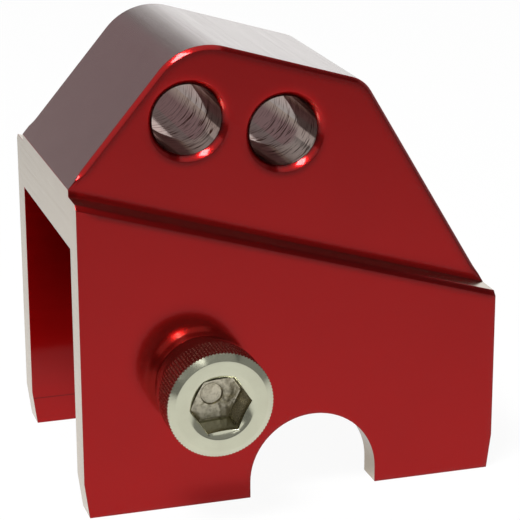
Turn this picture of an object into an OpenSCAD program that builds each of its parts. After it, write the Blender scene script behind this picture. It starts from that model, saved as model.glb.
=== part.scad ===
// Shock extender: a one-piece forked riser that clamps over an engine lug with a cap screw
// and carries the shock absorber in one of the two bores above it.
// The origin is on the clamp screw's axis, halfway between the legs.
// +X runs along the front face to the right, +Y to the back and +Z up.

/* [Fork] */
// Width of the engine lug that the legs straddle, and of the block that stands in for it above
lug_width = 34; // [28:0.5:42]
// Room between the lug and each leg
lug_clearance = 0.25; // [0.1:0.05:1]
// Thickness of each leg
leg_thickness = 4.75; // [4:0.25:8]
// Length of the block along its front face
block_length = 65; // [60:0.5:75]
// Left end to the clamp screw's axis
end_to_axis = 18.4; // [16:0.1:22]
// Underside of the feet to the clamp screw's axis
feet_to_axis = 19.5; // [17:0.1:21]
// Underside of the feet to the ledge at the right end
right_end_height = 29; // [27:0.5:34]
// Fall of the ledge and of the top edge towards the right, in degrees
ledge_fall = 16.65; // [12:0.05:20]
// Metal between the slot's ceiling and the ledge, square to the ledge
web_thickness = 7.5; // [5:0.25:9]
// How far each end draws in at the feet
end_draw = 0.7; // [0.1:0.1:1.5]
// Height over which each end draws in
end_draw_height = 5.5; // [2:0.5:8]
// Break of the ledge's outer edges
ledge_chamfer = 0.7; // [0.4:0.1:2]

/* [Arch] */
// Radius of the arch through both legs
arch_radius = 10; // [6:0.5:11]
// Clamp screw's axis to the middle of the arch
axis_to_arch = 17.25; // [17:0.25:22]
// Height of the arch's straight sides
arch_side_height = 2.5; // [0.5:0.25:4]

/* [Upper block] */
// Ledge to the top edge, square to both
upper_height = 26.25; // [25:0.25:32]
// Upright step at the left end, between the ledge and the left slope
left_step = 1; // [0.5:0.1:3]
// Left slope above the horizontal, in degrees
left_slope = 49.7; // [46:0.1:56]
// Right slope above the horizontal, in degrees
right_slope = 59.4; // [55:0.1:64]
// Radius of the corner between the left slope and the top edge
left_corner_radius = 9.4; // [5:0.1:11]
// Radius of the corner between the top edge and the right slope
right_corner_radius = 5; // [2:0.1:8]
// Break of the upper block's outline
outline_chamfer = 0.6; // [0.2:0.1:1]
// Unbroken length at the foot of each slope
chamfer_stop = 3.5; // [3:0.25:6]
// Radius at which the chamfer cutter runs out there
cutter_radius = 3; // [1.5:0.25:4]

/* [Shock bores] */
// Diameter of each bore
bore_diameter = 10.5; // [8:0.1:11]
// Clamp screw's axis to each bore's axis
bore_reach = 38.7; // [37:0.1:40]
// Distance between the two bores' axes
bore_pitch = 15; // [13:0.25:17]
// Lean of the first bore to the left of the clamp screw, in degrees
bore_lean = 0.5; // [0:0.25:1]
// Break of each bore's mouths
bore_chamfer = 0.9; // [0.3:0.1:1.5]

/* [Clamp screw] */
// Nominal diameter of the thread
thread_diameter = 10; // [8:0.5:12]
// Room around the screw in the legs
screw_clearance = 0.25; // [0.1:0.05:0.5]
// Diameter of the head
head_diameter = 16; // [15:0.5:20]
// Height of the head
head_height = 10; // [8:0.5:12]
// Width of the bevel around the head's face
head_bevel = 0.9; // [0.3:0.1:1.2]
// Height of that bevel
head_bevel_height = 0.6; // [0.2:0.1:1]
// How far the head draws in above its seat
foot_inset = 0.6; // [0.2:0.1:1]
// Height of the head's drawn-in foot, with its slope
foot_height = 2.9; // [2:0.1:4]
// Height of that slope
foot_taper = 1.3; // [0.5:0.1:1.5]
// Hex socket across its flats
socket_width = 8; // [5:0.5:9]
// Depth of the hex socket
socket_depth = 5.5; // [3:0.25:6]
// Diameter of the lead-in around the socket's mouth
mouth_diameter = 10.2; // [9.5:0.1:11]
// Slope of that lead-in below the head's face, in degrees
mouth_slope = 30; // [15:1:45]
// Turn of the hex socket, in degrees
socket_turn = 3.5; // [0:0.5:30]
// Diameter of the drilled spot in the socket's floor
spot_diameter = 3.2; // [2:0.1:4.5]
// Depth of that spot's rim below the floor
spot_depth = 0.4; // [0.2:0.1:1]
// Screw beyond the nut
screw_projection = 6; // [2:0.5:12]
// Break of the screw's tip
tip_chamfer = 1; // [0.5:0.1:1.5]

/* [Lock nut] */
// Nut across its flats
nut_width = 17; // [16:0.5:19]
// Width of the turned-down corner past each flat
nut_face_inset = 0.4; // [0.2:0.1:0.8]
// Height of the nut with its collar
nut_height = 10; // [9:0.5:12]
// Height of the hexagon alone
nut_hex_height = 7.2; // [5:0.1:8]
// Diameter of the round collar
collar_diameter = 14.6; // [14:0.1:15.5]
// Outside diameter of the nylon ring
ring_diameter = 12.6; // [12.5:0.1:13]
// How far the ring lies below the collar's rim
ring_drop = 0.6; // [0.2:0.1:1]
// Room around the ring and around the screw's crests in the nut
thread_room = 0.05; // [0.02:0.01:0.1]

/* [Hidden] */
$fn = 96;

// Cutters reach this far past the faces they open
over = 1;

slot_width = lug_width + 2 * lug_clearance;
block_thickness = slot_width + 2 * leg_thickness;
leg_face = block_thickness / 2;
upper_face = lug_width / 2;

left_end = -end_to_axis;
right_end = block_length - end_to_axis;
feet = -feet_to_axis;
fall = tan(ledge_fall);
right_ledge = feet + right_end_height;
left_ledge = right_ledge + block_length * fall;
slot_drop = web_thickness / cos(ledge_fall);
upper_rise = upper_height / cos(ledge_fall);

// Corners of the upper block's outline, where its slopes meet the top edge
left_run = (upper_rise - left_step) / (tan(left_slope) + fall);
right_run = upper_rise / (tan(right_slope) - fall);
left_foot = [left_end, left_ledge + left_step];
right_foot = [right_end, right_ledge];
left_corner = left_foot + left_run * [1, tan(left_slope)];
right_corner = right_foot + right_run * [-1, tan(right_slope)];

// Directions, from +X towards +Z, that face squarely out of the two slopes and the top edge
left_out = 90 + left_slope;
top_out = 90 - ledge_fall;
right_out = 90 - right_slope;

bore_swing = 2 * asin(bore_pitch / (2 * bore_reach));
bore_turns = [-bore_lean, bore_swing - bore_lean];
screw_reach = block_thickness + nut_height + screw_projection;
nut_bore = thread_diameter + 2 * thread_room;

function toward(turn) = [cos(turn), sin(turn)];

// Centre of an arc that touches two straight edges meeting at a corner
function arc_centre(corner, out_a, out_b, radius) =
    corner - radius / cos((out_a - out_b) / 2) * toward((out_a + out_b) / 2);

left_arc = arc_centre(left_corner, left_out, top_out, left_corner_radius);
right_arc = arc_centre(right_corner, top_out, right_out, right_corner_radius);

// Extrudes an outline drawn in X and Z evenly to the front and the back
module slab(thickness) {
    rotate([90, 0, 0])
        linear_extrude(height = thickness, center = true)
            children();
}

// Turns what is built along +Z to run along +Y
module along_y() {
    rotate([-90, 0, 0])
        children();
}

module through_hole(place, radius) {
    translate([place.x, 0, place.y])
        along_y()
            cylinder(h = block_thickness + 2 * over, r = radius, center = true);
}

// Breaks a straight edge of the face at y = 0; the metal lies to the right of the run
module break_edge(from, to, size) {
    run = to - from;
    translate([from.x, 0, from.y])
        rotate([0, atan2(run.x, run.y), 0])
            linear_extrude(height = norm(run))
                polygon([[size + over, -over], [-over, -over], [-over, size + over]]);
}

// Breaks a rounded edge of the face at y = 0
module break_arc(centre, radius, out_a, out_b, size) {
    translate([centre.x, 0, centre.y])
        along_y()
            rotate([0, 0, -out_a])
                rotate_extrude(angle = out_a - out_b)
                    polygon([
                        [radius - size - over, -over],
                        [radius + over, -over],
                        [radius + over, size + over]
                    ]);
}

// Round end that a cone-shaped cutter leaves where it stops on an edge
module break_end(place, out, size) {
    axis = place + (cutter_radius - size) * toward(out);
    translate([axis.x, -over, axis.y])
        along_y()
            cylinder(h = cutter_radius + over, r1 = cutter_radius + over, r2 = 0);
}

// Breaks the mouth of a bore in the face at y = 0
module break_mouth(place, radius, size) {
    translate([place.x, -over, place.y])
        along_y()
            cylinder(h = size + over, r1 = radius + size + over, r2 = radius);
}

module lower_block() {
    slab(block_thickness)
        polygon([
            [left_end + end_draw, feet],
            [left_end, feet + end_draw_height],
            [left_end, left_ledge],
            [right_end, right_ledge],
            [right_end, feet + end_draw_height],
            [right_end - end_draw, feet]
        ]);
}

// The outline reaches down into the web, so that both blocks are one piece
module upper_block() {
    root = [0, -slot_drop / 2];
    slab(lug_width) {
        polygon([
            left_foot - [0, left_step] + root,
            left_foot,
            left_arc + left_corner_radius * toward(left_out),
            left_arc + left_corner_radius * toward(top_out),
            right_arc + right_corner_radius * toward(top_out),
            right_arc + right_corner_radius * toward(right_out),
            right_foot,
            right_foot + root
        ]);
        translate(left_arc)
            circle(r = left_corner_radius);
        translate(right_arc)
            circle(r = right_corner_radius);
    }
}

// The slot's ceiling runs parallel to the ledge
module lug_slot() {
    reach = [over, -over * fall];
    slab(slot_width)
        polygon([
            [left_end - over, feet - over],
            [left_end, left_ledge - slot_drop] - reach,
            [right_end, right_ledge - slot_drop] + reach,
            [right_end + over, feet - over]
        ]);
}

module arch() {
    crown = [axis_to_arch, feet + arch_side_height];
    through_hole(crown, arch_radius);
    slab(block_thickness + 2 * over)
        translate([axis_to_arch - arch_radius, feet - over])
            square([2 * arch_radius, arch_side_height + over]);
}

// Broken edges and bore mouths of the upper block's front face
module upper_breaks() {
    left_stop = left_foot + chamfer_stop * toward(left_slope);
    right_stop = right_foot + chamfer_stop * toward(180 - right_slope);
    translate([0, -upper_face, 0]) {
        break_end(left_stop, left_out, outline_chamfer);
        break_edge(left_stop, left_corner, outline_chamfer);
        break_arc(left_arc, left_corner_radius, left_out, top_out, outline_chamfer);
        break_edge(left_corner, right_corner, outline_chamfer);
        break_arc(right_arc, right_corner_radius, top_out, right_out, outline_chamfer);
        break_edge(right_corner, right_stop, outline_chamfer);
        break_end(right_stop, right_out, outline_chamfer);
        for (turn = bore_turns)
            break_mouth(bore_reach * [sin(turn), cos(turn)], bore_diameter / 2, bore_chamfer);
    }
}

// Broken outer edge of the front ledge
module ledge_break() {
    reach = [over, -over * fall];
    translate([0, -leg_face, 0])
        break_edge([left_end, left_ledge] - reach, [right_end, right_ledge] + reach, ledge_chamfer);
}

module extender_block() {
    color("firebrick")
        difference() {
            union() {
                lower_block();
                upper_block();
            }
            lug_slot();
            arch();
            through_hole([0, 0], thread_diameter / 2 + screw_clearance);
            for (turn = bore_turns)
                through_hole(bore_reach * [sin(turn), cos(turn)], bore_diameter / 2);
            for (side = [0, 1])
                mirror([0, side, 0]) {
                    upper_breaks();
                    ledge_break();
                }
        }
}

// The head bears on the front leg, and the shank runs to the back
module clamp_screw() {
    head_radius = head_diameter / 2;
    thread_radius = thread_diameter / 2;
    socket_radius = socket_width / 2 / cos(30);
    mouth_radius = mouth_diameter / 2;
    mouth_depth = mouth_radius * tan(mouth_slope);
    color("silver")
        translate([0, -leg_face, 0])
            along_y()
                difference() {
                    rotate_extrude()
                        polygon([
                            [0, -head_height],
                            [head_radius - head_bevel, -head_height],
                            [head_radius, head_bevel_height - head_height],
                            [head_radius, -foot_height],
                            [head_radius - foot_inset, foot_taper - foot_height],
                            [head_radius - foot_inset, 0],
                            [thread_radius, 0],
                            [thread_radius, screw_reach - tip_chamfer],
                            [thread_radius - tip_chamfer, screw_reach],
                            [0, screw_reach]
                        ]);
                    translate([0, 0, -head_height - over])
                        rotate([0, 0, -socket_turn])
                            cylinder(h = socket_depth + over, r = socket_radius, $fn = 6);
                    translate([0, 0, socket_depth - head_height - over])
                        cylinder(h = spot_depth + over, r = spot_diameter / 2);
                    translate([0, 0, -head_height - over])
                        cylinder(h = mouth_depth + over, r1 = mouth_radius + over / tan(mouth_slope), r2 = 0);
                }
}

// Both ends of the hexagon are turned down to a round face at 30 degrees
module lock_nut() {
    corner_radius = nut_width / 2 / cos(30);
    face_radius = nut_width / 2 - nut_face_inset;
    turn_down = (corner_radius - face_radius) * tan(30);
    color("gainsboro")
        translate([0, leg_face, 0])
            along_y()
                difference() {
                    union() {
                        intersection() {
                            cylinder(h = nut_hex_height, r = corner_radius, $fn = 6);
                            rotate_extrude()
                                polygon([
                                    [0, 0],
                                    [face_radius, 0],
                                    [corner_radius, turn_down],
                                    [corner_radius, nut_hex_height - turn_down],
                                    [face_radius, nut_hex_height],
                                    [0, nut_hex_height]
                                ]);
                        }
                        cylinder(h = nut_height, r = collar_diameter / 2);
                    }
                    translate([0, 0, -over])
                        cylinder(h = nut_height + 2 * over, r = nut_bore / 2);
                    translate([0, 0, nut_hex_height])
                        cylinder(h = nut_height, r = ring_diameter / 2 + thread_room);
                }
}

// The ring sits on the floor of the collar's recess
module lock_ring() {
    ring_height = nut_height - ring_drop - nut_hex_height;
    color("royalblue")
        translate([0, leg_face + nut_hex_height, 0])
            along_y()
                difference() {
                    cylinder(h = ring_height, r = ring_diameter / 2);
                    translate([0, 0, -over])
                        cylinder(h = ring_height + 2 * over, r = nut_bore / 2);
                }
}

extender_block();
clamp_screw();
lock_nut();
lock_ring();
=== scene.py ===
import bmesh
import bpy
import math
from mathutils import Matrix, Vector, noise


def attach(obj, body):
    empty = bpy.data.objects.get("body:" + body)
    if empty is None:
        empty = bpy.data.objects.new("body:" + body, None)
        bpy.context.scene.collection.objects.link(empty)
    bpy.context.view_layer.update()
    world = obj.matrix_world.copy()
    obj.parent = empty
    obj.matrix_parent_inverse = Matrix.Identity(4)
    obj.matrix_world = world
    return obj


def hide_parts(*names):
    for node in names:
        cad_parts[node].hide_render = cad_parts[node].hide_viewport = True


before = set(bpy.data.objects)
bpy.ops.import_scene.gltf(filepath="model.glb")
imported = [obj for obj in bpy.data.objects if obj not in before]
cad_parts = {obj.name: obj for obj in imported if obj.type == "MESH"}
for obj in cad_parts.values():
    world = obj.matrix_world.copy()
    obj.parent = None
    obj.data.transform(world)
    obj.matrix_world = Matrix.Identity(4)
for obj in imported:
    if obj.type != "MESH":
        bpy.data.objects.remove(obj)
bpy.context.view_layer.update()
mm = 0.001
noiseSpan = {"From Min": 0.3, "From Max": 0.7}     # where most of a noise texture's values lie


def linearColour(hexCode):
    # sRGB hex to the linear values that the shader sockets take
    parts = [int(hexCode[i:i + 2], 16) / 255 for i in (1, 3, 5)]
    return [c / 12.92 if c <= 0.04045 else ((c + 0.055) / 1.055) ** 2.4 for c in parts] + [1.0]


def addNode(tree, kind, inputs=None, **settings):
    # a Mix node has its factor at 0, then numbers at 2 and 3, vectors at 4 and 5, colours at 6 and 7
    node = tree.nodes.new(kind)
    for name, value in settings.items():
        setattr(node, name, value)
    for key, value in (inputs or {}).items():
        if isinstance(value, bpy.types.NodeSocket):
            tree.links.new(value, node.inputs[key])
        else:
            node.inputs[key].default_value = value
    return node


def newTree(name):
    material = bpy.data.materials.new(name)
    material.use_nodes = True
    material.node_tree.nodes.clear()
    place = addNode(material.node_tree, "ShaderNodeTexCoord").outputs["Object"]
    return material, material.node_tree, place


anodised = {
    "dye": "#9b0809",          # red dye in the oxide
    "deepDye": "#930607",      # where the oxide took a little more
    "clearShare": 0.37,        # the oxide's own clear gloss, which keeps glints and grazing views pale
    "clearRoughness": 0.1,
    "cloudMm": 14.0,           # dye clouds from the bath
    "grainMm": 0.25,           # etched grain, drawn coarser than the real 0.05 mm so that it shows
    "roughness": 0.22,
    "roughnessSpread": 0.03,
    "grainLift": 0.001,        # mm
    "rollMm": 2.0,             # how far in from an edge the buffing wheel rolled the face
    "rollShare": 0.6,
    "rollFade": (-17.5, -15.0),    # x in mm over which the roll starts, past the left end's corner
}


def makeAnodised():
    # Anodised aluminium, clear oxide with red dye over satin metal:
    # all that it mirrors comes back red, under a faint white gloss
    material, tree, place = newTree("anodisedAluminium")
    cloud = addNode(tree, "ShaderNodeTexNoise", {
        "Vector": place, "Scale": 1 / (anodised["cloudMm"] * mm), "Detail": 2.0})
    grain = addNode(tree, "ShaderNodeTexNoise", {
        "Vector": place, "Scale": 1 / (anodised["grainMm"] * mm), "Detail": 3.0})
    colour = addNode(tree, "ShaderNodeMix", {
        0: cloud.outputs["Fac"],
        6: linearColour(anodised["dye"]), 7: linearColour(anodised["deepDye"])}, data_type="RGBA")
    rough = addNode(tree, "ShaderNodeMapRange", {
        "Value": grain.outputs["Fac"], **noiseSpan,
        "To Min": anodised["roughness"] - anodised["roughnessSpread"],
        "To Max": anodised["roughness"] + anodised["roughnessSpread"]})
    rolled = addNode(tree, "ShaderNodeBevel", {"Radius": anodised["rollMm"] * mm}, samples=6)
    flat = addNode(tree, "ShaderNodeNewGeometry")
    along = addNode(tree, "ShaderNodeSeparateXYZ", {0: place}).outputs["X"]
    fadeStart, fadeEnd = anodised["rollFade"]
    share = addNode(tree, "ShaderNodeMapRange", {
        "Value": along, "From Min": fadeStart * mm, "From Max": fadeEnd * mm,
        "To Min": 0.0, "To Max": anodised["rollShare"]})
    blend = addNode(tree, "ShaderNodeMix", {
        0: share.outputs[0], 4: flat.outputs["Normal"], 5: rolled.outputs[0]}, data_type="VECTOR")
    bump = addNode(tree, "ShaderNodeBump", {
        "Height": grain.outputs["Fac"], "Strength": 1.0, "Distance": anodised["grainLift"] * mm,
        "Normal": blend.outputs[1]})
    shader = addNode(tree, "ShaderNodeBsdfPrincipled", {
        "Base Color": colour.outputs[2], "Roughness": rough.outputs[0], "Normal": bump.outputs[0],
        "Metallic": 1.0, "Coat Weight": anodised["clearShare"],
        "Coat Roughness": anodised["clearRoughness"]})
    addNode(tree, "ShaderNodeOutputMaterial", {"Surface": shader.outputs[0]})
    return material


slotWall = {
    "dye": "#9e0809",
    "stepShade": "#6c0707",       # painted shade: a dark line where the last pass left its step
    "lineMm": 0.45,            # height of one cutter pass
    "lineLengthMm": 30.0,
    "passMm": -15.1,           # height of the last pass's step
    "passWidthMm": 0.16,
    "lift": 0.003,             # mm
    "roughness": 0.36,
    "roughnessSpread": 0.05,
}


def makeSlotWall():
    # The same oxide over end-milled walls: faint level lines, and a painted dark line of shade where
    # the last pass left its step
    material, tree, place = newTree("anodisedAluminiumMilled")
    along, up = 1 / (slotWall["lineLengthMm"] * mm), 1 / (slotWall["lineMm"] * mm)
    stretched = addNode(tree, "ShaderNodeVectorMath", {
        0: place, 1: (along, along, up)}, operation="MULTIPLY")
    lines = addNode(tree, "ShaderNodeTexNoise", {
        "Vector": stretched.outputs[0], "Scale": 1.0, "Detail": 3.0})
    height = addNode(tree, "ShaderNodeSeparateXYZ", {0: place}).outputs["Z"]
    offPass = addNode(tree, "ShaderNodeMath", {
        0: height, 1: slotWall["passMm"] * mm}, operation="SUBTRACT")
    nearPass = addNode(tree, "ShaderNodeMath", {0: offPass.outputs[0]}, operation="ABSOLUTE")
    # painted shade: darkens the wall in a thin band at the step's height
    stepShade = addNode(tree, "ShaderNodeMapRange", {
        "Value": nearPass.outputs[0], "From Min": 0.0, "From Max": slotWall["passWidthMm"] * mm,
        "To Min": 1.0, "To Max": 0.0})
    colour = addNode(tree, "ShaderNodeMix", {
        0: stepShade.outputs[0],
        6: linearColour(slotWall["dye"]), 7: linearColour(slotWall["stepShade"])}, data_type="RGBA")
    rough = addNode(tree, "ShaderNodeMapRange", {
        "Value": lines.outputs["Fac"], **noiseSpan,
        "To Min": slotWall["roughness"] - slotWall["roughnessSpread"],
        "To Max": slotWall["roughness"] + slotWall["roughnessSpread"]})
    bump = addNode(tree, "ShaderNodeBump", {
        "Height": lines.outputs["Fac"], "Strength": 1.0, "Distance": slotWall["lift"] * mm})
    shader = addNode(tree, "ShaderNodeBsdfPrincipled", {
        "Base Color": colour.outputs[2], "Roughness": rough.outputs[0], "Normal": bump.outputs[0],
        "Metallic": 1.0, "Coat Weight": anodised["clearShare"],
        "Coat Roughness": anodised["clearRoughness"]})
    addNode(tree, "ShaderNodeOutputMaterial", {"Surface": shader.outputs[0]})
    return material


milled = {
    "metal": "#b7ab99",
    "shade": "#aea291",
    "upperMirrorTint": "#b1a9a6",   # the upper block's outline, whose faces look up: a greyer, pinker copy of the milled metal, painted tint of what they mirror
    "upperMirrorTintDark": "#a9a19e",
    "lineMm": 0.18,            # side-milling lines, along the tool's axis
    "lineLengthMm": 22.0,
    "blotchMm": 5.0,
    "roughness": 0.24,
    "roughnessShare": 0.13,    # how far the lines vary it, either way
    "lift": 0.0006,            # mm
    "ledgeRoughness": 0.2,     # the ledges were cut with the tool's end
    "ledgeLift": 0.006,
}


def makeMilled(name, metal, shade, roughness, lift):
    # Bare milled aluminium: pale grey, with fine lines from front to back that blur what it mirrors
    material, tree, place = newTree(name)
    across, along = 1 / (milled["lineMm"] * mm), 1 / (milled["lineLengthMm"] * mm)
    stretched = addNode(tree, "ShaderNodeVectorMath", {
        0: place, 1: (across, along, across)}, operation="MULTIPLY")
    lines = addNode(tree, "ShaderNodeTexNoise", {
        "Vector": stretched.outputs[0], "Scale": 1.0, "Detail": 4.0})
    blotch = addNode(tree, "ShaderNodeTexNoise", {
        "Vector": place, "Scale": 1 / (milled["blotchMm"] * mm), "Detail": 3.0})
    colour = addNode(tree, "ShaderNodeMix", {
        0: blotch.outputs["Fac"], 6: linearColour(metal), 7: linearColour(shade)}, data_type="RGBA")
    rough = addNode(tree, "ShaderNodeMapRange", {
        "Value": lines.outputs["Fac"], **noiseSpan,
        "To Min": roughness * (1 - milled["roughnessShare"]),
        "To Max": roughness * (1 + milled["roughnessShare"])})
    bump = addNode(tree, "ShaderNodeBump", {
        "Height": lines.outputs["Fac"], "Strength": 1.0, "Distance": lift * mm})
    shader = addNode(tree, "ShaderNodeBsdfPrincipled", {
        "Base Color": colour.outputs[2], "Roughness": rough.outputs[0], "Normal": bump.outputs[0],
        "Metallic": 1.0})
    addNode(tree, "ShaderNodeOutputMaterial", {"Surface": shader.outputs[0]})
    return material


drilled = {
    "metal": "#c5c3c0",
    "grazed": "#ccb5b1",       # the ridges swallow part of the light that runs along the wall
    "score": "#3a302b",
    "ringMm": 0.26,            # spacing of the drill's ring marks
    "ringLengthMm": 4.5,       # how far round one mark runs
    "scoreMm": 0.38,           # spacing of the darker scores
    "scoreLengthMm": 2.8,
    "scoreEdge": (0.56, 0.62),     # noise levels between which a score goes from clear to full
    "scoreEnd": (-1.0, 9.0),   # y in mm over which the scores die out towards the back
    "scoreLeft": 0.15,         # share of them that is left there
    "roughness": 0.07,
    "lift": 0.003,             # mm
}


def makeDrilled():
    # Bare drilled aluminium: broken rings where chips were dragged round, some of them dark scores
    material, tree, place = newTree("drilledAluminium")
    ringAround, ringAlong = 1 / (drilled["ringLengthMm"] * mm), 1 / (drilled["ringMm"] * mm)
    scoreAround, scoreAlong = 1 / (drilled["scoreLengthMm"] * mm), 1 / (drilled["scoreMm"] * mm)
    ringPlace = addNode(tree, "ShaderNodeVectorMath", {
        0: place, 1: (ringAround, ringAlong, ringAround)}, operation="MULTIPLY")
    scorePlace = addNode(tree, "ShaderNodeVectorMath", {
        0: place, 1: (scoreAround, scoreAlong, scoreAround)}, operation="MULTIPLY")
    rings = addNode(tree, "ShaderNodeTexNoise", {
        "Vector": ringPlace.outputs[0], "Scale": 1.0, "Detail": 3.0})
    scores = addNode(tree, "ShaderNodeTexNoise", {
        "Vector": scorePlace.outputs[0], "Scale": 1.0, "Detail": 2.0})
    clear, full = drilled["scoreEdge"]
    deep = addNode(tree, "ShaderNodeMapRange", {
        "Value": scores.outputs["Fac"], "From Min": clear, "From Max": full,
        "To Min": 0.0, "To Max": 1.0})
    depth = addNode(tree, "ShaderNodeSeparateXYZ", {0: place}).outputs["Y"]
    fadeStart, fadeEnd = drilled["scoreEnd"]
    front = addNode(tree, "ShaderNodeMapRange", {
        "Value": depth, "From Min": fadeStart * mm, "From Max": fadeEnd * mm,
        "To Min": 1.0, "To Max": drilled["scoreLeft"]})
    dark = addNode(tree, "ShaderNodeMath", {
        0: deep.outputs[0], 1: front.outputs[0]}, operation="MULTIPLY")
    colour = addNode(tree, "ShaderNodeMix", {
        0: dark.outputs[0],
        6: linearColour(drilled["metal"]), 7: linearColour(drilled["score"])}, data_type="RGBA")
    surface = addNode(tree, "ShaderNodeMath", {
        0: rings.outputs["Fac"], 1: scores.outputs["Fac"]}, operation="ADD")
    bump = addNode(tree, "ShaderNodeBump", {
        "Height": surface.outputs[0], "Strength": 1.0, "Distance": drilled["lift"] * mm})
    shader = addNode(tree, "ShaderNodeBsdfPrincipled", {
        "Base Color": colour.outputs[2], "Roughness": drilled["roughness"],
        "Normal": bump.outputs[0], "Metallic": 1.0,
        "Specular Tint": linearColour(drilled["grazed"])})
    addNode(tree, "ShaderNodeOutputMaterial", {"Surface": shader.outputs[0]})
    return material


stainless = {
    "metal": "#c8c9b3",
    "shade": "#bab9a4",
    "grainMm": 0.3,
    "blotchMm": 3.0,
    "roughness": 0.14,
    "roughnessSpread": (0.04, 0.05),   # less and more
    "shadedWallMetal": "#a39c84",    # the socket's walls: duller from the broach, and darker as painted shade in the recess
    "shadedWallBlotch": "#857e68",
    "wallRoughness": 0.27,
    "knurlRoughness": 0.25,    # the knurl's roots, which its wheel pressed
    "lift": 0.0015,            # mm
}


def makeStainless(name, metal, shade, roughness):
    # Cold-headed stainless steel: a warm grey mirror, slightly orange-peeled from the die
    material, tree, place = newTree(name)
    blotch = addNode(tree, "ShaderNodeTexNoise", {
        "Vector": place, "Scale": 1 / (stainless["blotchMm"] * mm), "Detail": 3.0})
    grain = addNode(tree, "ShaderNodeTexNoise", {
        "Vector": place, "Scale": 1 / (stainless["grainMm"] * mm), "Detail": 3.0})
    colour = addNode(tree, "ShaderNodeMix", {
        0: blotch.outputs["Fac"], 6: linearColour(metal), 7: linearColour(shade)}, data_type="RGBA")
    less, more = stainless["roughnessSpread"]
    rough = addNode(tree, "ShaderNodeMapRange", {
        "Value": grain.outputs["Fac"], **noiseSpan,
        "To Min": roughness - less, "To Max": roughness + more})
    bump = addNode(tree, "ShaderNodeBump", {
        "Height": grain.outputs["Fac"], "Strength": 1.0, "Distance": stainless["lift"] * mm})
    shader = addNode(tree, "ShaderNodeBsdfPrincipled", {
        "Base Color": colour.outputs[2], "Roughness": rough.outputs[0], "Normal": bump.outputs[0],
        "Metallic": 1.0})
    addNode(tree, "ShaderNodeOutputMaterial", {"Surface": shader.outputs[0]})
    return material


socketFloor = {
    "metal": "#cbc4b0",
    "shade": "#8f8772",
    "chipMm": 0.45,            # torn chips that the broach leaves
    "chipEdge": (0.48, 0.66),  # noise levels between which a chip darkens
    "chipShare": 0.5,
    "roughness": 0.34,
    "lift": 0.05,              # mm
}


def makeSocketFloor():
    # Torn steel at the bottom of the broached socket: lumpy, and patchy light and dark
    material, tree, place = newTree("broachedSteel")
    chips = addNode(tree, "ShaderNodeTexNoise", {
        "Vector": place, "Scale": 1 / (socketFloor["chipMm"] * mm), "Detail": 5.0})
    light, torn = socketFloor["chipEdge"]
    dark = addNode(tree, "ShaderNodeMapRange", {
        "Value": chips.outputs["Fac"], "From Min": light, "From Max": torn,
        "To Min": 0.0, "To Max": socketFloor["chipShare"]})
    colour = addNode(tree, "ShaderNodeMix", {
        0: dark.outputs[0],
        6: linearColour(socketFloor["metal"]), 7: linearColour(socketFloor["shade"])},
        data_type="RGBA")
    bump = addNode(tree, "ShaderNodeBump", {
        "Height": chips.outputs["Fac"], "Strength": 1.0, "Distance": socketFloor["lift"] * mm})
    shader = addNode(tree, "ShaderNodeBsdfPrincipled", {
        "Base Color": colour.outputs[2], "Roughness": socketFloor["roughness"],
        "Normal": bump.outputs[0], "Metallic": 1.0})
    addNode(tree, "ShaderNodeOutputMaterial", {"Surface": shader.outputs[0]})
    return material


zinc = {
    "metal": "#cfd3d8",
    "shade": "#b4bac4",
    "patchMm": 2.5,
    "grainMm": 0.22,
    "roughness": 0.24,
    "roughnessSpread": (0.05, 0.08),   # less and more
    "lift": 0.003,             # mm
}


def makeZinc():
    # Bright zinc plate over cold-formed steel: bluish grey, with soft patches from the bath
    material, tree, place = newTree("zincPlatedSteel")
    patch = addNode(tree, "ShaderNodeTexNoise", {
        "Vector": place, "Scale": 1 / (zinc["patchMm"] * mm), "Detail": 3.0})
    grain = addNode(tree, "ShaderNodeTexNoise", {
        "Vector": place, "Scale": 1 / (zinc["grainMm"] * mm), "Detail": 3.0})
    colour = addNode(tree, "ShaderNodeMix", {
        0: patch.outputs["Fac"],
        6: linearColour(zinc["metal"]), 7: linearColour(zinc["shade"])}, data_type="RGBA")
    less, more = zinc["roughnessSpread"]
    rough = addNode(tree, "ShaderNodeMapRange", {
        "Value": patch.outputs["Fac"], **noiseSpan,
        "To Min": zinc["roughness"] - less, "To Max": zinc["roughness"] + more})
    bump = addNode(tree, "ShaderNodeBump", {
        "Height": grain.outputs["Fac"], "Strength": 1.0, "Distance": zinc["lift"] * mm})
    shader = addNode(tree, "ShaderNodeBsdfPrincipled", {
        "Base Color": colour.outputs[2], "Roughness": rough.outputs[0], "Normal": bump.outputs[0],
        "Metallic": 1.0})
    addNode(tree, "ShaderNodeOutputMaterial", {"Surface": shader.outputs[0]})
    return material


nylon = {
    "body": "#23479a",
    "worn": "#3a5fb4",
    "patchMm": 1.2,
    "grainMm": 0.2,            # what the trim cut left
    "roughness": 0.42,
    "lift": 0.008,             # mm
    "ior": 1.53,
    "glowShare": 0.15,         # light that gets in and comes out again
    "glowMm": 0.4,
}


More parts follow.
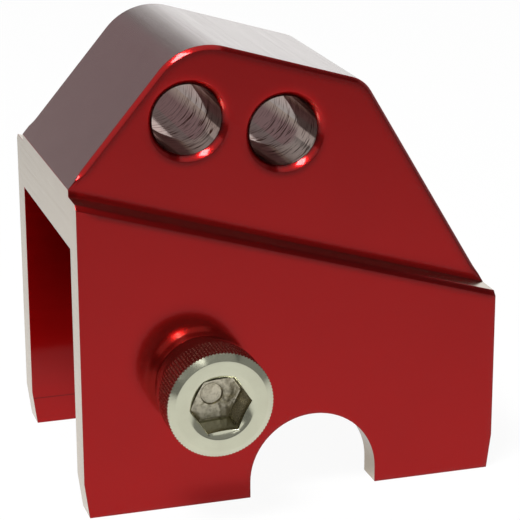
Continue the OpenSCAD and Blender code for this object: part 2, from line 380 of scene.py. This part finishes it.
def makeNylon():
    # Moulded nylon: waxy blue that lets a little light in, with a fine grain from the trim cut
    material, tree, place = newTree("mouldedNylon")
    patch = addNode(tree, "ShaderNodeTexNoise", {
        "Vector": place, "Scale": 1 / (nylon["patchMm"] * mm), "Detail": 3.0})
    grain = addNode(tree, "ShaderNodeTexNoise", {
        "Vector": place, "Scale": 1 / (nylon["grainMm"] * mm), "Detail": 2.0})
    colour = addNode(tree, "ShaderNodeMix", {
        0: patch.outputs["Fac"],
        6: linearColour(nylon["body"]), 7: linearColour(nylon["worn"])}, data_type="RGBA")
    bump = addNode(tree, "ShaderNodeBump", {
        "Height": grain.outputs["Fac"], "Strength": 1.0, "Distance": nylon["lift"] * mm})
    shader = addNode(tree, "ShaderNodeBsdfPrincipled", {
        "Base Color": colour.outputs[2], "Roughness": nylon["roughness"],
        "Normal": bump.outputs[0], "IOR": nylon["ior"],
        "Subsurface Weight": nylon["glowShare"], "Subsurface Scale": nylon["glowMm"] * mm})
    addNode(tree, "ShaderNodeOutputMaterial", {"Surface": shader.outputs[0]})
    return material


# the block keeps its CAD solid; its faces are sorted by how each was made
block = {
    "boreCentres": [(-0.338, 38.699), (14.402, 35.920), (0, 0)],   # mm, x and z; last the screw's
    "boreRadius": 5.25,
    "slotFace": 17.25,         # y of the slot's walls
    "upperFace": 17.0,         # y of the upper block's faces
    "ledgeFall": 16.65,        # degrees
    "near": 0.05,              # mm within which a face counts as lying on one of these
    "dyedLean": 0.3,           # a face that leans this far to the front or back is dyed
    "flat": 0.99,              # and at this it is a level wall
    "ledgeMatch": 0.999,       # how well a ledge's normal fits its fall
    "outlineRise": 0.1,        # the upper outline's faces look up at least this far
    "edgeBreak": 0.12,         # mm, the file's pass over the sharp edges
}


def dressBlock():
    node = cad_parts["extender_block"]
    mesh = node.data
    metal, shade, rough, lift = (milled[key] for key in ("metal", "shade", "roughness", "lift"))
    finishes = {
        "dyed": makeAnodised(),
        "end": makeMilled("milledAluminium", metal, shade, rough, lift),
        "bore": makeDrilled(),
        "slot": makeSlotWall(),
        "ledge": makeMilled(
            "faceMilledAluminium", metal, shade, milled["ledgeRoughness"], milled["ledgeLift"]),
        "upper": makeMilled(
            "contourMilledAluminiumMirrorTint", milled["upperMirrorTint"], milled["upperMirrorTintDark"], rough, lift),
    }
    mesh.materials.clear()
    for material in finishes.values():
        mesh.materials.append(material)
    slotOf = {finish: i for i, finish in enumerate(finishes)}
    fall = math.radians(block["ledgeFall"])
    ledgeUp = Vector((math.sin(fall), 0, math.cos(fall)))
    for face in mesh.polygons:
        normal, centre = face.normal, face.center / mm
        reach = min(math.hypot(centre.x - x, centre.z - z) for x, z in block["boreCentres"])
        if abs(normal.y) > block["dyedLean"]:
            onWall = abs(abs(centre.y) - block["slotFace"]) < block["near"]
            finish = "slot" if onWall and abs(normal.y) > block["flat"] else "dyed"
        elif reach < block["boreRadius"] + block["near"]:
            finish = "bore"
        elif abs(centre.y) > block["upperFace"]:
            finish = "ledge" if normal.dot(ledgeUp) > block["ledgeMatch"] else "end"
        else:
            # faces that look up take the painted mirror tint, the others the plain milled metal
            finish = "upper" if normal.z > block["outlineRise"] else "end"
        face.material_index = slotOf[finish]
    breakEdges(node, block["edgeBreak"])
    print("block dressed:", len(mesh.polygons), "faces")


edges = {
    "joinMm": 0.0005,          # CAD corners this close are one
    "steps": 2,
    "sharp": 25.0,             # degrees from which an edge is broken
    "evenWeight": 90,          # how strongly the large faces keep their own shading
}


def breakEdges(node, size):
    # joins the CAD faces along their edges, then rounds what is sharp by a fraction of a millimetre
    weld = node.modifiers.new("joinFaces", "WELD")
    weld.merge_threshold = edges["joinMm"] * mm
    soft = node.modifiers.new("edgeBreak", "BEVEL")
    soft.width = size * mm
    soft.segments = edges["steps"]
    soft.limit_method = "ANGLE"
    soft.angle_limit = math.radians(edges["sharp"])
    soft.harden_normals = False
    soft.material = 0
    flat = node.modifiers.new("evenShade", "WEIGHTED_NORMAL")
    flat.keep_sharp = False
    flat.weight = edges["evenWeight"]


# the screw is drawn again with what the CAD solid leaves plain: knurl, thread and a torn socket floor
screw = {
    "seat": -22.0,             # mm, y of the leg's face
    "headRadius": 8.0,
    "headHeight": 10.0,
    "bevelWidth": 1.05,
    "bevelDepth": 0.7,
    "faceRings": (5.8, 6.5),   # radii across the flat face
    "knurlTeeth": 96,          # the real 120 are too fine to show
    "knurlWave": (0, 0, 0.5, 1, 1, 0.5),   # one tooth, 0 on its crest and 1 in its root
    "knurlDepth": 0.13,
    "knurlRings": (0.9, 2.2, 4.0),     # depths below the face
    "knurlEnd": 6.2,
    "knurlRunout": 0.7,        # height over which the teeth run out into the band
    "runoutShare": 0.6,        # what is left of them halfway
    "dullDepths": (0.7, 5.7),  # where the knurl's roots are duller
    "dullRadius": 7.7,
    "dullShare": 0.6,          # of the knurl's depth, from its crests
    "bandRadius": 7.88,
    "seatRadius": 7.4,         # the foot of the head draws in above its seat
    "footStart": 7.1,
    "footSlope": 0.46,         # mm that it draws in for each mm of height
    "socketFlats": 8.0,
    "socketDepth": 5.5,
    "socketTurn": 3.5,         # degrees
    "socketFillet": ((0.16, 0.03), (0.05, 0.1), (0.0, 0.25)),  # in from the flats, up from the floor
    "mouthRadius": 5.1,
    "mouthSlope": 30.0,        # degrees
    "mouthRound": ((-0.12, 0.07), (0.0, 0.015), (0.12, 0.0)),  # out from the mouth, below the face
    "edgeRound": 0.06,
    "litWallRise": 0.9,          # the socket wall that looks up at least this far takes the lighter rolled steel, as a painted lit side
    "spotRadius": 1.6,
    "spotDepth": 0.3,
    "spotCone": 0.15,          # how much deeper its middle is
    "spotLip": 0.1,
    "floorLumps": 0.09,
    "lumpsPerMm": 1.3,
    "lumpSlice": 4.0,          # where the noise is cut, another number gives other lumps
    "spotLumps": 0.4,          # share of them in the spot and on its lip
    "floorRise": 0.12,         # how steeply the torn floor climbs towards its lower wall
    "floorGap": 0.18,          # flat strip that the lumps leave along the walls
    "shankRadius": 4.98,
    "neckFillet": 0.2,
    "length": 60.0,
    "threadLength": 32.0,
    "threadSteps": 72,         # around
    "pitch": 1.5,
    "threadDepth": 0.9,
    "threadStart": 1.5,        # turns over which it reaches that depth
    "threadWave": ((0.06, 0.0), (0.12, 0.06), (0.44, 0.94), (0.5, 1.0),
                   (0.62, 1.0), (0.68, 0.94), (1.0, 0.06)),    # one turn, share of pitch and of depth
    "tipChamfer": 1.0,
    "joinMm": 0.002,           # points this close are one
    "slimMm": 0.001,           # faces slimmer than this go
    "sharp": 40.0,             # degrees from which an edge is shaded sharp
}
screwSlots = {"rolled": 0, "torn": 1, "scrapedShaded": 2, "knurled": 3}


def joinRings(mesh, rings, slotIndex, closed=True):
    for lower, upper in zip(rings, rings[1:]):
        count = len(lower)
        for i in range(count if closed else count - 1):
            j = (i + 1) % count
            corners = []
            for vert in (lower[i], lower[j], upper[j], upper[i]):
                if vert not in corners:
                    corners.append(vert)
            if len(corners) > 2:
                face = mesh.faces.new(corners)
                face.material_index = slotIndex
                face.smooth = True


def buildHead(mesh):
    # rings from the socket's middle out over the face and down to the seat, with depths below the face
    wave = screw["knurlWave"]
    steps = screw["knurlTeeth"] * len(wave)
    turn = math.radians(screw["socketTurn"])
    angles = [turn + 2 * math.pi * i / steps for i in range(steps)]
    top = screw["seat"] - screw["headHeight"]
    sixth = math.pi / 3
    flats = screw["socketFlats"] / 2
    hexagon = [flats / math.cos((a - turn) % sixth - sixth / 2) for a in angles]

    def ring(radii, depths, lumps=0.0):
        made = []
        for i, a in enumerate(angles):
            r = radii[i] if isinstance(radii, list) else radii
            d = depths[i] if isinstance(depths, list) else depths
            x, z = r * math.cos(a), r * math.sin(a)
            if lumps:
                often = screw["lumpsPerMm"]
                d += lumps * noise.noise(Vector((x * often, z * often, screw["lumpSlice"])))
                d -= screw["floorRise"] * max(0.0, -z - screw["spotRadius"])
            made.append(mesh.verts.new((x * mm, (top + d) * mm, z * mm)))
        return made

    floor, spot, lumps = screw["socketDepth"], screw["spotRadius"], screw["floorLumps"]
    spotFloor, cone = floor + screw["spotDepth"], screw["spotCone"]
    fineLumps = lumps * screw["spotLumps"]
    lip, gap = spot + screw["spotLip"], screw["floorGap"]
    middle = mesh.verts.new((0, (top + spotFloor + cone) * mm, 0))
    floorRings = [[middle] * steps]
    for share in (0.3, 0.6, 0.85):                         # across the drilled spot
        floorRings.append(ring(spot * share, spotFloor + cone * (1 - share), fineLumps))
    floorRings.append(ring(spot * 0.98, floor + screw["spotDepth"] * 0.9))     # up its edge
    floorRings.append(ring(spot, floor + 0.06))
    floorRings.append(ring(lip, floor - 0.04, fineLumps))  # the lip that the drill raised
    for share in (0.15, 0.3, 0.45, 0.6, 0.75, 0.9):        # out to the walls
        floorRings.append(ring([lip + share * (h - gap - lip) for h in hexagon], floor, lumps))
    walls = [ring([h - inset for h in hexagon], floor - rise) for inset, rise in screw["socketFillet"]]
    joinRings(mesh, [*floorRings, walls[0]], screwSlots["torn"])

    mouth, soft = screw["mouthRadius"], screw["edgeRound"]
    slope = math.tan(math.radians(screw["mouthSlope"]))
    wallTop = [(mouth - h) * slope for h in hexagon]
    wallFoot = floor - screw["socketFillet"][-1][1]
    for share in (0.35, 0.7):                              # up the walls
        walls.append(ring(hexagon, [wallFoot - share * (wallFoot - w - soft) for w in wallTop]))
    walls.append(ring(hexagon, [w + soft for w in wallTop]))
    # painted shade: the socket walls take the darker broached steel
    joinRings(mesh, walls, screwSlots["scrapedShaded"])

    rings = [walls[-1], ring([h + soft for h in hexagon], [w - soft / 2 for w in wallTop])]
    for out, depth in screw["mouthRound"]:
        rings.append(ring(mouth + out, depth))
    rim = screw["headRadius"] - screw["bevelWidth"]
    for radius in screw["faceRings"]:
        rings.append(ring(radius, 0.0))
    for radius, depth in ((rim - soft, 0.0), (rim, 0.01), (rim + soft, 0.045)):    # a soft rim
        rings.append(ring(radius, depth))

    knurl = [screw["headRadius"] - screw["knurlDepth"] * wave[i % len(wave)] for i in range(steps)]
    steep = screw["bevelDepth"] / screw["bevelWidth"]
    rings.append(ring(knurl, [(k - rim) * steep for k in knurl]))      # where the bevel runs out on it
    end, band, runout = screw["knurlEnd"], screw["bandRadius"], screw["knurlRunout"]
    for depth in (*screw["knurlRings"], end - runout):
        rings.append(ring(knurl, depth))
    rings.append(ring([band + (k - band) * screw["runoutShare"] for k in knurl], end - runout / 2))
    rings.append(ring(band, end))

    seat, foot, start = screw["headHeight"], screw["seatRadius"], screw["footStart"]
    drawn = start + (band - foot) / screw["footSlope"]                 # depth at which it has drawn in
    for radius, depth in (                                 # each bend has a short easing on both sides
            (band, end + 0.2), (band, start), (band - 0.03, start + 0.12),
            (foot + 0.03, drawn), (foot, drawn + 0.12), (foot, seat - 0.35),
            (foot - 0.08, seat - 0.1), (foot - 0.25, seat),
            (screw["shankRadius"] + screw["neckFillet"], seat)):
        rings.append(ring(radius, depth))
    joinRings(mesh, rings, screwSlots["rolled"])


def buildShank(mesh):
    # plain under the head, then a right-hand thread whose rows follow the helix
    around, pitch = screw["threadSteps"], screw["pitch"]
    radius, depth, fillet = screw["shankRadius"], screw["threadDepth"], screw["neckFillet"]
    seat, tip = screw["seat"], screw["seat"] + screw["length"]
    start = tip - screw["threadLength"]
    tipRadius = radius - screw["tipChamfer"]
    grid = []
    for turn in range(-2, int(screw["threadLength"] / pitch) + 2):
        for along, cut in screw["threadWave"]:
            row = []
            for i in range(around + 1):
                a = 2 * math.pi * i / around
                y = start + (turn + along) * pitch - pitch * i / around
                y = min(max(y, start), tip)
                fade = min((y - start) / (screw["threadStart"] * pitch), 1.0)
                r = min(radius - depth * cut * fade, tipRadius + (tip - y))
                if y >= tip:
                    r = tipRadius
                row.append(mesh.verts.new((r * math.cos(a) * mm, y * mm, r * math.sin(a) * mm)))
            grid.append(row)
    joinRings(mesh, grid, screwSlots["rolled"], closed=False)

    angles = [2 * math.pi * i / around for i in range(around)]

    def plainRing(r, y):
        return [mesh.verts.new((r * math.cos(a) * mm, y * mm, r * math.sin(a) * mm)) for a in angles]

    neck = [plainRing(radius + fillet, seat), plainRing(radius + 0.3 * fillet, seat + 0.3 * fillet),
            plainRing(radius, seat + fillet), plainRing(radius, (seat + start) / 2),
            plainRing(radius, start)]
    joinRings(mesh, neck, screwSlots["rolled"])
    centre = mesh.verts.new((0, tip * mm, 0))
    tipRings = [plainRing(tipRadius, tip), plainRing(tipRadius * 0.5, tip), [centre] * around]
    joinRings(mesh, tipRings, screwSlots["rolled"])


def buildScrew():
    data = bpy.data.meshes.new("clampScrew")
    mesh = bmesh.new()
    buildHead(mesh)
    buildShank(mesh)
    bmesh.ops.remove_doubles(mesh, verts=mesh.verts, dist=screw["joinMm"] * mm)
    bmesh.ops.dissolve_degenerate(mesh, dist=screw["slimMm"] * mm, edges=mesh.edges)
    bmesh.ops.recalc_face_normals(mesh, faces=mesh.faces)
    rootRadius = screw["headRadius"] - screw["dullShare"] * screw["knurlDepth"]
    shallow, deep = screw["dullDepths"]
    top = screw["seat"] - screw["headHeight"]
    for face in mesh.faces:
        place = face.calc_center_median() / mm
        inRoot = screw["dullRadius"] < math.hypot(place.x, place.z) < rootRadius
        if face.material_index == screwSlots["scrapedShaded"] and face.normal.z > screw["litWallRise"]:
            face.material_index = screwSlots["rolled"]     # painted light: the wall that looks up gets the lighter rolled steel
        elif inRoot and shallow < place.y - top < deep:
            face.material_index = screwSlots["knurled"]    # the roots stay duller than the crests
    for edge in mesh.edges:
        edge.smooth = edge.calc_face_angle(0) < math.radians(screw["sharp"])
    mesh.to_mesh(data)
    mesh.free()
    piece = bpy.data.objects.new("clampScrew", data)
    bpy.context.scene.collection.objects.link(piece)
    metal, shade = stainless["metal"], stainless["shade"]
    data.materials.append(makeStainless("stainlessSteel", metal, shade, stainless["roughness"]))
    data.materials.append(makeSocketFloor())
    # the socket walls' copy of the steel, darker as painted shade
    data.materials.append(makeStainless(
        "broachedStainlessSteelShaded", stainless["shadedWallMetal"], stainless["shadedWallBlotch"],
        stainless["wallRoughness"]))
    data.materials.append(makeStainless(
        "knurledStainlessSteel", metal, shade, stainless["knurlRoughness"]))
    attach(piece, "root")
    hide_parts("clamp_screw")
    print("screw built:", len(data.polygons), "faces")


nut = {
    "edgeBreak": 0.18,         # mm
    "ringEdgeBreak": 0.25,
}


def dressNut():
    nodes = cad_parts
    for node, material, size, slot in (
            (nodes["lock_nut"], makeZinc(), nut["edgeBreak"], "zinc_plated_steel"),
            (nodes["lock_ring"], makeNylon(), nut["ringEdgeBreak"], "nylon")):
        node.data.materials.clear()
        node.data.materials.append(material)
        breakEdges(node, size)
    print("nut dressed")


def upright(start, end, low, high):
    # corners of a card that stands between two points of the plan
    return [(*start, low), (*end, low), (*end, high), (*start, high)]


# pale floor, white room, one softbox and grey cards out of view for the metal to mirror
studio = {
    "floorZ": -19.5 * mm,
    "floorHalf": 3.0,          # metres
    "floorGlow": 0.94,         # share of the floor that is evenly white to the lens, for a faint shadow
    "mirrorGlow": 0.64,        # the same share where metal mirrors the floor
    "poolNear": (0.04, 1.0),   # metres from the middle, and how bright the painted pool of light on the floor is in a mirror there
    "poolFar": (0.32, 0.58),
    "poolBehind": 0.72,        # how bright it is that far behind the part
    "poolTurn": (0.0, 0.1),    # metres in y over which the one goes into the other
    "ambient": 0.34,
    "keyPlace": (-0.24, -0.25, 0.74),
    "keyAim": (0.014, 0, 0.015),
    "keySize": 0.25,
    "keyWatts": 6.4,
    "cards": {                 # colour, strength and corners in metres
        "frontCard": ("#9a9a9a", 1.0, upright((-0.9, -1.1), (1.1, -1.1), 0.45, 1.3)),
        "stripCard": ("#ffffff", 1.9, upright((-0.6, -1.08), (-0.12, -1.08), 0.86, 1.04)),
        "lowCard": ("#8a8a8a", 1.0, upright((-0.9, -1.1), (1.1, -1.1), -0.02, 0.45)),
        "rightCard": ("#959595", 1.0, upright((1.0, -1.1), (1.0, 0.5), -0.02, 0.85)),
        "highCard": ("#646464", 1.0, upright((1.0, -1.1), (1.0, 0.5), 0.85, 1.7)),
        "leftCard": ("#858585", 1.0, upright((-0.9, -1.1), (-0.9, 0.3), -0.02, 0.45)),
        "duskCard": ("#967f82", 1.0, upright((-1.0, 0.62), (-0.03, 0.62), -0.02, 0.6)),
        "dimCard": ("#8c8282", 1.0, [(-0.03, 0.62, 0.08), (0.13, 0.62, 0.23), (0.5, 0.62, 0.23),
                                     (0.5, 0.62, 0.6), (-0.03, 0.62, 0.6)]),
        "backCard": ("#ffffff", 1.18, upright((0.04, 0.62), (0.5, 0.62), -0.02, 0.22)),
    },
    "pales": {"duskCard": ("#cbc4bc", 0.12)},  # what this card pales to at the floor, from this height
}


def seenByLens(tree):
    # 1 for rays from the camera and for mirrored and refracted ones, 0 for the rest
    path = addNode(tree, "ShaderNodeLightPath")
    seen = addNode(tree, "ShaderNodeMath", {
        0: path.outputs["Is Camera Ray"], 1: path.outputs["Is Glossy Ray"]}, operation="MAXIMUM")
    return addNode(tree, "ShaderNodeMath", {
        0: seen.outputs[0], 1: path.outputs["Is Transmission Ray"]}, operation="MAXIMUM").outputs[0]


def makeSheet(name, corners, material):
    data = bpy.data.meshes.new(name)
    data.from_pydata(corners, [], [range(len(corners))])
    data.materials.append(material)
    sheet = bpy.data.objects.new(name, data)
    bpy.context.scene.collection.objects.link(sheet)
    return sheet


def setRoom():
    world = bpy.data.worlds.new("whiteRoom")
    bpy.context.scene.world = world
    world.use_nodes = True
    tree = world.node_tree
    tree.nodes.clear()
    white = addNode(tree, "ShaderNodeBackground", {"Color": (1, 1, 1, 1), "Strength": 1.0})
    dim = addNode(tree, "ShaderNodeBackground", {
        "Color": (1, 1, 1, 1), "Strength": studio["ambient"]})
    mix = addNode(tree, "ShaderNodeMixShader", {
        0: seenByLens(tree), 1: dim.outputs[0], 2: white.outputs[0]})
    addNode(tree, "ShaderNodeOutputWorld", {"Surface": mix.outputs[0]})


def layFloor():
    # White paper: even to the lens; in a mirror it carries a painted pool of light, brightest around
    # the part
    paper, tree, place = newTree("whitePaper")
    away = addNode(tree, "ShaderNodeVectorMath", {0: place}, operation="LENGTH")
    back = addNode(tree, "ShaderNodeSeparateXYZ", {0: place}).outputs["Y"]
    turnStart, turnEnd = studio["poolTurn"]
    (near, nearLevel), (far, farLevel) = studio["poolNear"], studio["poolFar"]
    edge = addNode(tree, "ShaderNodeMapRange", {
        "Value": back, "From Min": turnStart, "From Max": turnEnd,
        "To Min": farLevel, "To Max": studio["poolBehind"]})
    paintedPool = addNode(tree, "ShaderNodeMapRange", {
        "Value": away.outputs["Value"], "From Min": near, "From Max": far,
        "To Min": nearLevel, "To Max": edge.outputs[0]})
    direct = addNode(tree, "ShaderNodeLightPath").outputs["Is Camera Ray"]
    level = addNode(tree, "ShaderNodeMix", {0: direct, 2: paintedPool.outputs[0], 3: 1.0})
    matt = addNode(tree, "ShaderNodeBsdfDiffuse", {"Color": level.outputs[0]})
    glow = addNode(tree, "ShaderNodeEmission", {
        "Color": (1, 1, 1, 1), "Strength": level.outputs[0]})
    even = addNode(tree, "ShaderNodeMix", {
        0: direct, 2: studio["mirrorGlow"], 3: studio["floorGlow"]})
    share = addNode(tree, "ShaderNodeMath", {
        0: seenByLens(tree), 1: even.outputs[0]}, operation="MULTIPLY")
    mix = addNode(tree, "ShaderNodeMixShader", {
        0: share.outputs[0], 1: matt.outputs[0], 2: glow.outputs[0]})
    addNode(tree, "ShaderNodeOutputMaterial", {"Surface": mix.outputs[0]})
    half, z = studio["floorHalf"], studio["floorZ"]
    makeSheet("floor", [(-half, -half, z), (half, -half, z), (half, half, z), (-half, half, z)], paper)


def hangCards():
    for name, (colour, strength, corners) in studio["cards"].items():
        card, tree, place = newTree(name)
        glow = addNode(tree, "ShaderNodeEmission", {
            "Color": linearColour(colour), "Strength": strength})
        if name in studio["pales"]:
            pale, paleTop = studio["pales"][name]
            height = addNode(tree, "ShaderNodeSeparateXYZ", {0: place}).outputs["Z"]
            fade = addNode(tree, "ShaderNodeMapRange", {
                "Value": height, "From Min": studio["floorZ"], "From Max": paleTop,
                "To Min": 1.0, "To Max": 0.0})
            tone = addNode(tree, "ShaderNodeMix", {
                0: fade.outputs[0], 6: linearColour(colour), 7: linearColour(pale)}, data_type="RGBA")
            tree.links.new(tone.outputs[2], glow.inputs["Color"])
        addNode(tree, "ShaderNodeOutputMaterial", {"Surface": glow.outputs[0]})
        sheet = makeSheet(name, corners, card)
        sheet.visible_camera = sheet.visible_shadow = sheet.visible_diffuse = False


def setStudio():
    scene = bpy.context.scene
    scene.view_settings.view_transform = "Standard"
    setRoom()
    layFloor()
    hangCards()
    light = bpy.data.lights.new("softbox", "AREA")
    light.size = studio["keySize"]
    light.energy = studio["keyWatts"]
    lamp = bpy.data.objects.new("softbox", light)
    scene.collection.objects.link(lamp)
    lamp.location = studio["keyPlace"]
    aim = Vector(studio["keyAim"]) - lamp.location
    lamp.rotation_euler = aim.to_track_quat("-Z", "Y").to_euler()
    print("studio set")


lens = {
    "place": (-0.07735, -0.30289, 0.11268),
    "turn": (72.184, 0.199, -17.128),      # degrees
    "focal": 145.66,                       # mm
    "frameWidth": 36.0,                    # mm
    "clip": (0.01, 20.0),                  # metres
}


def setCamera():
    data = bpy.data.cameras.new("camera")
    data.sensor_width = lens["frameWidth"]
    data.lens = lens["focal"]
    data.clip_start, data.clip_end = lens["clip"]
    camera = bpy.data.objects.new("camera", data)
    bpy.context.scene.collection.objects.link(camera)
    camera.location = lens["place"]
    camera.rotation_euler = [math.radians(a) for a in lens["turn"]]
    bpy.context.scene.camera = camera
    print("camera set")


setCamera()
dressBlock()
buildScrew()
dressNut()
setStudio()
